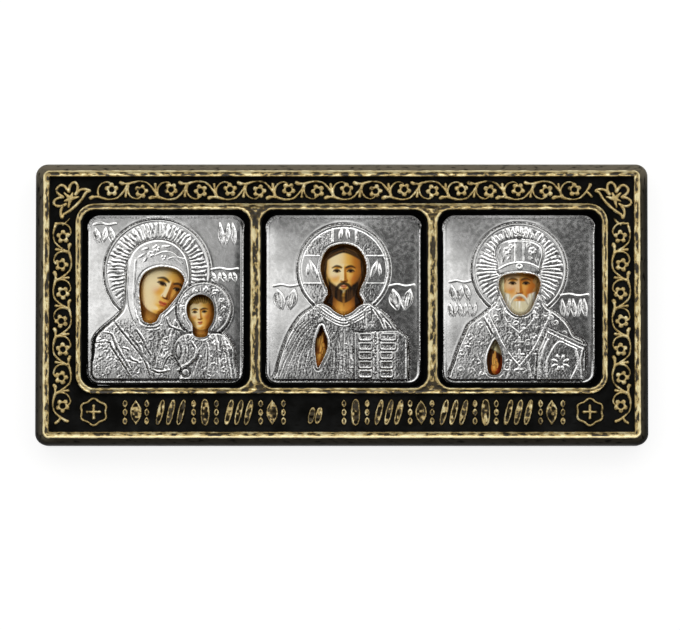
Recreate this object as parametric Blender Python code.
"""Car icon: three stamped foil plaques and their printed cards in one moulded plastic frame.

The icon lies on its flat back. Metres, +Z up: the pictures face +Z, their upper edge is towards +Y,
and the origin is the middle of the frame's flat back. Every outline is drawn in the XY plane and
raised along Z.
"""

import math

import bmesh
import bpy
from mathutils import Vector

MM = 0.001

# The frame's outline, seen from the front, and its heights above the back.
WIDTH = 120.0 * MM
HEIGHT = 55.15 * MM
THICKNESS = 8.0 * MM
OUTER_CORNER = 2.4 * MM
SIDE_WALL_TOP = 5.0 * MM
SHOULDER = 1.35 * MM
END_SHOULDER = 1.6 * MM
SHOULDER_TOP = 7.1 * MM
OUTER_BEAD = 1.3 * MM
FIELD_Z = 7.0 * MM
BEAD_EDGE_Z = 7.75 * MM
CORNER_STEPS = 4

# The raised bead round the three windows. It sits a little above the middle of the frame.
INNER_BEAD_HALF = Vector((52.0 * MM, 18.61 * MM))
INNER_BEAD_CENTRE_Y = 1.04 * MM
INNER_BEAD = Vector((1.24 * MM, 1.37 * MM))
INNER_BEAD_CORNER = 3.5 * MM

# The windows from left to right, each by its middle and half its width, and the dividers between
# them. The middle one sits a little to the right and the last one is a little narrower.
WINDOWS = ((-34.43 * MM, 16.36 * MM), (0.46 * MM, 16.17 * MM), (34.81 * MM, 15.91 * MM))
WINDOW_HALF_HEIGHT = INNER_BEAD_HALF.y - INNER_BEAD.y
WINDOW_CORNER = 2.5 * MM
DIVIDER_Z = 7.3 * MM
DIVIDER_CROWN = 1.5 * MM
POCKET_FLOOR = 4.2 * MM
HOLLOW_DEPTH = 0.5 * MM

# Relief on the black border.
RELIEF_Z = 7.5 * MM
VINE_WIDTH = 0.5 * MM
VINE_SWING = 1.8 * MM
VINE_STEPS = 4
FLOWER_RADIUS = 1.23 * MM
FLOWER_WAVER = 0.2 * MM
TOP_FLOWERS = 17
TOP_PITCH = 5.66 * MM
TOP_BAND_Y = 22.3 * MM
SIDE_FLOWERS = 7
SIDE_PITCH = 5.58 * MM
SIDE_BAND_X = 54.65 * MM
SIDE_FIRST_Y = 13.15 * MM
LEAF_BASE = Vector((51.9 * MM, 19.4 * MM))
MEDALLION_AT = Vector((48.45 * MM, -21.1 * MM))
MEDALLION_RADIUS = 2.8 * MM
STROKE_BAND_Y = -21.15 * MM
STROKE_HEIGHT = 5.0 * MM
STROKES_LEFT = (-40.2, -33.4, -26.7, -20.1, -13.6, -5.2)
STROKES_RIGHT = (2.7, 9.2, 15.5, 21.9, 28.1, 34.5, 41.0)

# The foil plaques and the cards behind them.
GAP = 0.3 * MM
CARD_THICKNESS = 0.5 * MM
CARD_INSET = 0.5 * MM
PLAQUES = ((-34.41 * MM, 15.41 * MM), (0.4 * MM, 15.27 * MM), (34.72 * MM, 15.01 * MM))
PLAQUE_HALF_HEIGHT = 16.64 * MM
PLAQUE_CORNER = 2.5 * MM
PLAQUE_Y = INNER_BEAD_CENTRE_Y - 0.19 * MM
CARD_BOTTOM = POCKET_FLOOR + GAP
FOIL_BOTTOM = CARD_BOTTOM + CARD_THICKNESS + GAP
FOIL_FIELD = FOIL_BOTTOM + 0.6 * MM
FOIL_RIM = 0.8 * MM
HALO_Z = 6.35 * MM
BUST_Z = 7.0 * MM
BOOK_Z = 7.2 * MM
RIM_Z = 7.4 * MM
OPENING_RIM = 0.45 * MM
CUT_CLEARANCE = 1.0 * MM

# Colour, roughness and metallic value of each material.
FINISHES = {
    "frame": ((0.045, 0.04, 0.03), 0.38, 0.0),
    "riza": ((0.62, 0.62, 0.6), 0.3, 1.0),
    "picture": ((0.62, 0.42, 0.22), 0.4, 0.0),
}


def clear_scene():
    for obj in list(bpy.data.objects):
        bpy.data.objects.remove(obj, do_unlink=True)


def finish(slot):
    """The material of one slot, made once and shared."""
    known = bpy.data.materials.get(slot)
    if known:
        return known
    colour, roughness, metallic = FINISHES[slot]
    material = bpy.data.materials.new(slot)
    material.use_nodes = True
    shader = material.node_tree.nodes["Principled BSDF"]
    shader.inputs["Base Color"].default_value = (*colour, 1.0)
    shader.inputs["Roughness"].default_value = roughness
    shader.inputs["Metallic"].default_value = metallic
    return material


def new_object(name, bm):
    """An object in the scene from a bmesh, with its faces turned outwards."""
    bmesh.ops.recalc_face_normals(bm, faces=bm.faces)
    mesh = bpy.data.meshes.new(name)
    bm.to_mesh(mesh)
    bm.free()
    obj = bpy.data.objects.new(name, mesh)
    bpy.context.scene.collection.objects.link(obj)
    return obj


# Outlines: lists of 2-D points, anticlockwise.


def rounded_rect(half, radius, centre=(0.0, 0.0), steps=CORNER_STEPS):
    points = []
    for quarter in range(4):
        sign_x = 1 if quarter in (0, 3) else -1
        sign_y = 1 if quarter in (0, 1) else -1
        middle = Vector((sign_x * (half[0] - radius), sign_y * (half[1] - radius)))
        for step in range(steps + 1):
            angle = (quarter + step / steps) * math.pi / 2
            rim = Vector((math.cos(angle), math.sin(angle))) * radius
            points.append(Vector(centre) + middle + rim)
    return points


def oval(centre, radii, lean=0.0, count=20):
    """An ellipse whose upper end leans to the right by an angle in degrees."""
    turn = -math.radians(lean)
    points = []
    for step in range(count):
        angle = 2 * math.pi * step / count
        x = radii[0] * math.cos(angle)
        y = radii[1] * math.sin(angle)
        along = x * math.cos(turn) - y * math.sin(turn)
        up = x * math.sin(turn) + y * math.cos(turn)
        points.append(Vector(centre) + Vector((along, up)))
    return points


def spindle(centre, half, lean=0.0, steps=5):
    """A pointed oval, twice as many arcs of steps segments as it has sides."""
    turn = -math.radians(lean)
    points = []
    for side in (1, -1):
        for step in range(steps):
            share = -1 + 2 * step / steps
            x = side * half[0] * (1 - share * share)
            y = side * half[1] * share
            along = x * math.cos(turn) - y * math.sin(turn)
            up = x * math.sin(turn) + y * math.cos(turn)
            points.append(Vector(centre) + Vector((along, up)))
    return points


def smooth(points, steps=3):
    """A closed Catmull-Rom curve through the points."""
    count = len(points)
    curve = []
    for i in range(count):
        before, start, end, after = (Vector(points[(i + k) % count]) for k in (-1, 0, 1, 2))
        for step in range(steps):
            t = step / steps
            bend = (end - before) * t
            bend += (2 * before - 5 * start + 4 * end - after) * t * t
            bend += (3 * start - before - 3 * end + after) * t * t * t
            curve.append(start + bend / 2)
    return curve


def in_mm(points):
    return [Vector(point) * MM for point in points]


def mirrored(points):
    """The outline turned over the Y axis, still anticlockwise."""
    return [Vector((-point[0], point[1])) for point in reversed(points)]


def shifted(points, offset):
    return [Vector(point) + Vector(offset) for point in points]


def widened(points, distance):
    """The outline moved outwards by a distance, measured square to its sides."""
    count = len(points)
    moved = []
    for i in range(count):
        along = (Vector(points[(i + 1) % count]) - Vector(points[i - 1])).normalized()
        moved.append(Vector(points[i]) + Vector((along.y, -along.x)) * distance)
    return moved


# Solids.


def loft(name, sections):
    """A solid through sections of the same number of points, each an outline and its height."""
    bm = bmesh.new()
    rings = [[bm.verts.new((p[0], p[1], z)) for p in outline] for outline, z in sections]
    for lower, upper in zip(rings, rings[1:]):
        for i in range(len(lower)):
            j = (i + 1) % len(lower)
            bm.faces.new((lower[i], lower[j], upper[j], upper[i]))
    bm.faces.new(list(reversed(rings[0])))
    bm.faces.new(rings[-1])
    return new_object(name, bm)


def prism(name, outline, bottom, top):
    return loft(name, [(outline, bottom), (outline, top)])


def mound(name, outline, bottom, shoulder, top, inset):
    """A raised area: upright sides to the shoulder, then a slope inwards to a flat top."""
    return loft(name, [(outline, bottom), (outline, shoulder), (widened(outline, -inset), top)])


def ladder(name, stations, bottom, top):
    """A raised ribbon. Each station is its middle, its unit cross direction and its half width."""
    bm = bmesh.new()
    rungs = []
    for middle, across, half in stations:
        corners = ((-half, bottom), (half, bottom), (0.6 * half, top), (-0.6 * half, top))
        rungs.append([bm.verts.new((*(middle + across * offset), z)) for offset, z in corners])
    for lower, upper in zip(rungs, rungs[1:]):
        for i in range(4):
            j = (i + 1) % 4
            bm.faces.new((lower[i], lower[j], upper[j], upper[i]))
    bm.faces.new(list(reversed(rungs[0])))
    bm.faces.new(rungs[-1])
    return new_object(name, bm)


def boolean(target, tool, operation):
    """Joins the tool to the target, or cuts it away, and removes the tool."""
    modifier = target.modifiers.new(operation.title(), "BOOLEAN")
    modifier.operation = operation
    modifier.solver = "EXACT"
    modifier.object = tool
    graph = bpy.context.evaluated_depsgraph_get()
    result = bpy.data.meshes.new_from_object(target.evaluated_get(graph))
    target.modifiers.clear()
    target.data = result
    bpy.data.objects.remove(tool, do_unlink=True)


def join(target, *tools):
    for tool in tools:
        boolean(target, tool, "UNION")


def cut(target, *tools):
    for tool in tools:
        boolean(target, tool, "DIFFERENCE")


def merged(name, parts):
    """Several solids that don't touch each other, as one object, so that they join in one step."""
    bm = bmesh.new()
    for part in parts:
        bm.from_mesh(part.data)
        bpy.data.objects.remove(part, do_unlink=True)
    return new_object(name, bm)


def complete(obj, name, slot):
    """Names the finished solid, tidies its faces and gives it its material."""
    obj.name = name
    obj.data.name = name
    bm = bmesh.new()
    bm.from_mesh(obj.data)
    bmesh.ops.remove_doubles(bm, verts=bm.verts, dist=0.002 * MM)
    bmesh.ops.dissolve_degenerate(bm, edges=bm.edges, dist=0.002 * MM)
    bmesh.ops.triangulate(bm, faces=bm.faces)
    bm.to_mesh(obj.data)
    bm.free()
    obj.data.materials.clear()
    obj.data.materials.append(finish(slot))
    obj.data.shade_smooth()
    obj.data.set_sharp_from_angle(angle=math.radians(35))


# The frame.


def frame_blank():
    """The frame without windows or relief: its side, rounded shoulder, rims and border field."""

    def outer(inset, radius):
        ends = (END_SHOULDER - SHOULDER) * min(inset / SHOULDER, 1)
        half = (WIDTH / 2 - inset - ends, HEIGHT / 2 - inset)
        return rounded_rect(half, radius)

    def inner(share, radius):
        half = INNER_BEAD_HALF - share * INNER_BEAD
        return rounded_rect(half, radius, (0.0, INNER_BEAD_CENTRE_Y))

    bead_in = SHOULDER + OUTER_BEAD
    edge = 0.25 * OUTER_BEAD
    sections = [
        (outer(0, OUTER_CORNER), 0),
        (outer(0, OUTER_CORNER), SIDE_WALL_TOP),
        (outer(0.35 * SHOULDER, OUTER_CORNER * 0.8), 0.4 * SIDE_WALL_TOP + 0.6 * SHOULDER_TOP),
        (outer(SHOULDER, OUTER_CORNER * 0.45), SHOULDER_TOP),
        (outer(SHOULDER + edge, OUTER_CORNER * 0.4), BEAD_EDGE_Z),
        (outer(SHOULDER + OUTER_BEAD / 2, OUTER_CORNER * 0.3), THICKNESS),
        (outer(bead_in - edge, OUTER_CORNER * 0.2), BEAD_EDGE_Z),
        (outer(bead_in, OUTER_CORNER * 0.12), FIELD_Z),
        (inner(0, INNER_BEAD_CORNER), FIELD_Z),
        (inner(0.27, INNER_BEAD_CORNER - edge), BEAD_EDGE_Z - 0.1 * MM),
        (inner(0.5, (INNER_BEAD_CORNER + WINDOW_CORNER) / 2), THICKNESS - 0.1 * MM),
        (inner(1, WINDOW_CORNER), DIVIDER_Z),
    ]
    return loft("frame", sections)


def window(middle, half_width):
    """The pocket for one plaque."""
    half = (half_width, WINDOW_HALF_HEIGHT)
    outline = rounded_rect(half, WINDOW_CORNER, (middle, INNER_BEAD_CENTRE_Y))
    return prism("window", outline, POCKET_FLOOR, THICKNESS + CUT_CLEARANCE)


def dividers():
    """The middle of each divider."""
    places = []
    for (left, left_half), (right, right_half) in zip(WINDOWS, WINDOWS[1:]):
        places.append((left + left_half + right - right_half) / 2)
    return places


def divider_crown(x):
    """The rounded gold band along one divider."""
    centre = (x, INNER_BEAD_CENTRE_Y)
    half_length = WINDOW_HALF_HEIGHT - 0.6 * WINDOW_CORNER
    half_width = DIVIDER_CROWN / 2
    foot = rounded_rect((half_width, half_length), 0.9 * half_width, centre, 2)
    ridge = rounded_rect((0.4 * half_width, half_length - half_width), 0.35 * half_width, centre, 2)
    sections = [(foot, DIVIDER_Z - GAP), (foot, DIVIDER_Z + GAP / 2), (ridge, THICKNESS - GAP)]
    return loft("divider", sections)


def junction_hollows():
    """The small sunk triangles where the dividers meet the bead round the windows."""
    hollows = []
    for x in dividers():
        for end in (-1, 1):
            y = INNER_BEAD_CENTRE_Y + end * (WINDOW_HALF_HEIGHT - 0.1 * MM)
            corners = [(x - 0.65 * MM, y), (x + 0.65 * MM, y), (x, y - end * 0.95 * MM)]
            if end > 0:
                corners.reverse()
            hollows.append(prism("hollow", corners, DIVIDER_Z - HOLLOW_DEPTH, THICKNESS))
    return merged("hollows", hollows)


def flower(centre):
    """A five-petal rosette."""
    points = []
    for step in range(10):
        angle = math.pi / 2 + math.pi * step / 5
        radius = FLOWER_RADIUS * (1.0 if step % 2 == 0 else 0.8)
        points.append(centre + Vector((math.cos(angle), math.sin(angle))) * radius)
    sunk = FIELD_Z - GAP
    petals = [(points, sunk), (points, FIELD_Z), (widened(points, -0.3 * MM), RELIEF_Z)]
    return loft("flower", petals)


def vine(first, along, pitch, count, first_side):
    """A waving stem past a row of flowers, and the flowers themselves."""
    along = Vector(along)
    across = Vector((-along.y, along.x))
    flowers = []
    for i in range(count):
        side = -first_side if i % 2 == 0 else first_side
        flowers.append(flower(Vector(first) + along * (pitch * i) + across * (side * FLOWER_WAVER)))
    stations = []
    last = count * VINE_STEPS
    for step in range(last + 1):
        t = step / VINE_STEPS
        phase = math.pi * t
        swing = first_side * VINE_SWING * math.sin(phase)
        slope = first_side * VINE_SWING * math.cos(phase) * math.pi / pitch
        middle = Vector(first) + along * (pitch * (t - 0.5)) + across * swing
        square = (across - along * slope).normalized()
        taper = 0.4 if step in (0, last) else 1.0
        stations.append((middle, square, taper * VINE_WIDTH / 2))
    return [ladder("stem", stations, FIELD_Z - GAP, RELIEF_Z)] + flowers


def corner_leaf(side):
    """The palmette in an upper corner, its rounded lobes fanned out towards the corner."""
    half = [(0.0, 5.1), (1.0, 3.4), (2.95, 3.75), (2.35, 1.95), (3.95, 0.45), (1.8, 0.35)]
    fan = [(v * MM, u * MM) for v, u in half] + [(-v * MM, u * MM) for v, u in half[:0:-1]]
    outline = []
    for v, u in reversed(smooth(fan, 2)):
        outline.append(LEAF_BASE + Vector((u + v, u - v)) * math.sqrt(0.5))
    if side < 0:
        outline = mirrored(outline)
    return mound("leaf", outline, FIELD_Z - GAP, FIELD_Z, RELIEF_Z, 0.2 * MM)


def medallion(side):
    """A cross inside a pointed six-lobed ring, in a lower corner."""
    centre = Vector((side * MEDALLION_AT.x, MEDALLION_AT.y))

    def lobes(scale):
        points = []
        for step in range(12):
            angle = math.pi * step / 6 + math.pi / 2
            radius = MEDALLION_RADIUS * scale * (1.0 if step % 2 == 0 else 0.88)
            points.append(centre + Vector((math.cos(angle), math.sin(angle))) * radius)
        return points

    ring = prism("ring", lobes(1.0), FIELD_Z - GAP, RELIEF_Z)
    cut(ring, prism("inside", lobes(0.84), FIELD_Z - 2 * GAP, THICKNESS))
    arm = 1.35 * MM
    waist = 0.35 * MM
    flare = 0.5 * MM
    quarter = [(waist, waist), (flare, arm), (-flare, arm), (-waist, waist)]
    cross = []
    for turn in range(4):
        for x, y in quarter[:3]:
            for _ in range(turn):
                x, y = -y, x
            cross.append(centre + Vector((x, y)))
    return [ring, prism("cross", cross, FIELD_Z - GAP, RELIEF_Z)]


def stroke_row():
    """The row of shallow strokes along the lower border: lens shapes and slanted bars in turn."""
    strokes = []
    for i, x in enumerate(STROKES_LEFT + STROKES_RIGHT):
        centre = Vector((x * MM, STROKE_BAND_Y))
        if i % 3 == 0:
            outline = spindle(centre, (0.3 * STROKE_HEIGHT, STROKE_HEIGHT / 2), 12)
        elif i % 3 == 1:
            lean = 0.16 * STROKE_HEIGHT
            half = 0.17 * STROKE_HEIGHT
            top = STROKE_HEIGHT / 2
            slab = [(-half - lean, -top), (half - lean, -top)]
            slab += [(half + lean, top), (-half + lean, top)]
            outline = shifted(slab, centre)
        else:
            outline = spindle(centre, (0.22 * STROKE_HEIGHT, 0.36 * STROKE_HEIGHT), -18)
        strokes.append(prism("stroke", outline, FIELD_Z - GAP, RELIEF_Z - 0.1 * MM))
    return strokes


def make_frame():
    frame = frame_blank()
    for middle, half_width in WINDOWS:
        cut(frame, window(middle, half_width))
    for x in dividers():
        join(frame, divider_crown(x))
    cut(frame, junction_hollows())
    top_first = (-TOP_PITCH * (TOP_FLOWERS - 1) / 2, TOP_BAND_Y)
    relief = vine(top_first, (1, 0), TOP_PITCH, TOP_FLOWERS, -1)
    for side in (-1, 1):
        side_first = (side * SIDE_BAND_X, SIDE_FIRST_Y)
        relief += vine(side_first, (0, -1), SIDE_PITCH, SIDE_FLOWERS, side)
        relief.append(corner_leaf(side))
        relief += medallion(side)
    relief += stroke_row()
    join(frame, merged("relief", relief))
    complete(frame, "frame", "frame")


# The foil plaques. Their figures are given in millimetres from the middle of each plaque.


def foil_blank(half_width):
    """A plaque's plate with its raised rim."""

    def edge(inset):
        half = (half_width - inset, PLAQUE_HALF_HEIGHT - inset)
        return rounded_rect(half, PLAQUE_CORNER - inset)

    sections = [
        (edge(0), FOIL_BOTTOM),
        (edge(0), FOIL_FIELD),
        (edge(FOIL_RIM / 2), FOIL_FIELD + FOIL_RIM / 3),
        (edge(FOIL_RIM), FOIL_FIELD - 0.05 * MM),
        (edge(2 * FOIL_RIM), FOIL_FIELD),
    ]
    return loft("plaque", sections)


def halo(centre, radius):
    """A disc with a raised ring round a shallow dish."""
    centre = Vector(centre) * MM
    radii = (radius, radius - 0.15, radius - 0.6, radius - 0.9)
    heights = (FOIL_FIELD - GAP, HALO_Z, HALO_Z, HALO_Z - 0.2 * MM)
    return loft(
        "halo",
        [(oval(centre, (r * MM, r * MM), count=28), z) for r, z in zip(radii, heights)],
    )


def figure(points, top=BUST_Z):
    """A head and shoulders in low relief: an outline with sloping edges."""
    outline = smooth(in_mm(points))
    return mound("figure", outline, FOIL_FIELD - GAP, top - 0.45 * MM, top, 0.45 * MM)


def raised_rim(outline):
    return prism("rim", widened(outline, OPENING_RIM), FOIL_FIELD - GAP, RIM_Z)


def opening(outline):
    return prism("opening", outline, FOIL_BOTTOM - CUT_CLEARANCE, THICKNESS + CUT_CLEARANCE)


def open_book(spine_x, low, high, half_left, half_right):
    """Two slanting pages that meet at a low spine."""
    spine, low_y, high_y = spine_x * MM, low * MM, high * MM
    left, right = spine - half_left * MM, spine + half_right * MM
    dip = 0.4 * MM
    bm = bmesh.new()
    profile = ((left, BOOK_Z), (spine, BOOK_Z - dip), (right, BOOK_Z))
    rows = []
    for y in (low_y, high_y):
        upper = [bm.verts.new((x, y, z)) for x, z in profile]
        lower = [bm.verts.new((x, y, FOIL_FIELD - GAP)) for x, z in profile]
        rows.append((upper, lower))
    (near_up, near_down), (far_up, far_down) = rows
    for i in range(2):
        bm.faces.new((near_up[i], near_up[i + 1], far_up[i + 1], far_up[i]))
        bm.faces.new((near_down[i + 1], near_down[i], far_down[i], far_down[i + 1]))
        bm.faces.new((near_down[i], near_down[i + 1], near_up[i + 1], near_up[i]))
        bm.faces.new((far_down[i + 1], far_down[i], far_up[i], far_up[i + 1]))
    bm.faces.new((near_down[0], near_up[0], far_up[0], far_down[0]))
    bm.faces.new((near_up[2], near_down[2], far_down[2], far_up[2]))
    return new_object("book", bm)


def make_foil(name, index, raised, outlines):
    """One plaque: its raised shapes, the rims of its openings and the openings themselves."""
    middle, half_width = PLAQUES[index]
    foil = foil_blank(half_width)
    join(foil, *raised)
    join(foil, *[raised_rim(outline) for outline in outlines])
    cut(foil, *[opening(outline) for outline in outlines])
    complete(foil, name, "riza")
    foil.location = (middle, PLAQUE_Y, 0)


def make_left_foil():
    """A veiled mother on the left, leaning to a child on the right."""
    mother = [
        (-1.5, 12.2),
        (-6.2, 10.2),
        (-8.2, 5.6),
        (-7.9, 0.2),
        (-9.4, -2.8),
        (-13.2, -7.8),
        (-13.9, -15.8),
        (0.0, -16.0),
        (9.0, -15.8),
        (7.4, -8.2),
        (2.6, -4.6),
        (3.0, 0.6),
        (4.6, 5.6),
        (2.6, 10.4),
    ]
    child = [(4.2, -7.0), (2.6, -11.0), (3.4, -15.8), (13.4, -15.8), (13.2, -10.0), (10.2, -6.8)]
    face = [(-0.9, 6.4), (-4.4, 3.4), (-5.2, -1.4), (-4.7, -4.4), (-1.2, -4.6), (1.9, -1.2)]
    face.append((3.3, 3.6))
    small_face = [(6.7, 1.1), (4.1, -0.8), (4.4, -4.2), (6.2, -7.2), (8.3, -6.4), (9.3, -3.6)]
    small_face.append((9.2, -0.6))
    raised = [halo((-1.7, 5.2), 10.3), halo((7.7, -1.7), 5.3)]
    raised += [figure(mother), figure(child, BUST_Z + 0.15 * MM)]
    make_foil("riza_left", 0, raised, [smooth(in_mm(face)), smooth(in_mm(small_face))])


def make_centre_foil():
    """A bearded man with an open book and a raised hand."""
    man = [
        (0.0, 11.9),
        (-4.6, 9.4),
        (-5.6, 4.0),
        (-5.4, -0.2),
        (-9.4, -4.2),
        (-12.0, -9.8),
        (-13.2, -15.8),
        (0.0, -16.0),
        (12.6, -15.8),
        (12.4, -8.0),
        (9.6, -4.2),
        (5.4, -0.2),
        (5.6, 4.0),
        (4.6, 9.4),
    ]
    left_side = [(-3.5, 9.3), (-4.5, 5.4), (-3.6, 0.9), (-1.4, -2.6)]
    head = [(0.0, 11.0)] + left_side + [(-x, y) for x, y in reversed(left_side)]
    hand = spindle((-4.3 * MM, -9.2 * MM), (1.3 * MM, 4.1 * MM))
    raised = [halo((0.0, 5.6), 9.0), figure(man), open_book(6.3, -15.8, -5.9, 4.1, 6.2)]
    make_foil("riza_centre", 1, raised, [smooth(in_mm(head)), hand])


def make_right_foil():
    """An old bishop with a mitre, a closed book and a raised hand."""
    robe = [
        (-4.6, 1.0),
        (-7.4, -2.4),
        (-11.2, -8.4),
        (-13.7, -15.8),
        (0.0, -16.0),
        (12.8, -15.8),
        (12.9, -9.0),
        (9.6, -5.0),
        (6.6, -2.4),
        (4.9, 1.0),
        (0.1, 2.6),
    ]
    mitre_side = [(-3.4, 11.2), (-5.0, 8.6), (-3.8, 5.2)]
    mitre = [(0.0, 11.8)] + mitre_side + [(0.0, 4.4)] + [(-x, y) for x, y in reversed(mitre_side)]
    knob = oval((0.0, 12.2 * MM), (0.8 * MM, 0.8 * MM), count=8)
    face_side = [(-3.4, 4.6), (-4.1, 1.6), (-3.0, -1.6)]
    face = [(0.1, 5.1)] + face_side + [(0.1, -3.2)] + [(-x, y) for x, y in reversed(face_side)]
    hand = spindle((-4.9 * MM, -11.3 * MM), (1.6 * MM, 3.2 * MM))
    corners = [(3.3, -15.8), (12.5, -15.7), (12.6, -8.6), (3.4, -8.4)]
    raised = [halo((0.0, 5.7), 9.25), figure(robe), figure(mitre, RIM_Z)]
    raised += [
        prism("knob", knob, FOIL_FIELD - GAP, BUST_Z),
        mound("book", in_mm(corners), FOIL_FIELD - GAP, BOOK_Z, BOOK_Z + 0.25 * MM, 0.5 * MM),
    ]
    make_foil("riza_right", 2, raised, [smooth(in_mm(face)), hand])


def make_card(name, index):
    """The printed card behind one plaque."""
    middle, half_width = PLAQUES[index]
    half = (half_width - CARD_INSET, PLAQUE_HALF_HEIGHT - CARD_INSET)
    outline = rounded_rect(half, PLAQUE_CORNER - CARD_INSET)
    card = prism(name, outline, CARD_BOTTOM, CARD_BOTTOM + CARD_THICKNESS)
    complete(card, name, "picture")
    card.location = (middle, PLAQUE_Y, 0)


def main():
    clear_scene()
    make_frame()
    make_left_foil()
    make_centre_foil()
    make_right_foil()
    for index, side in enumerate(("left", "centre", "right")):
        make_card(f"picture_{side}", index)


main()
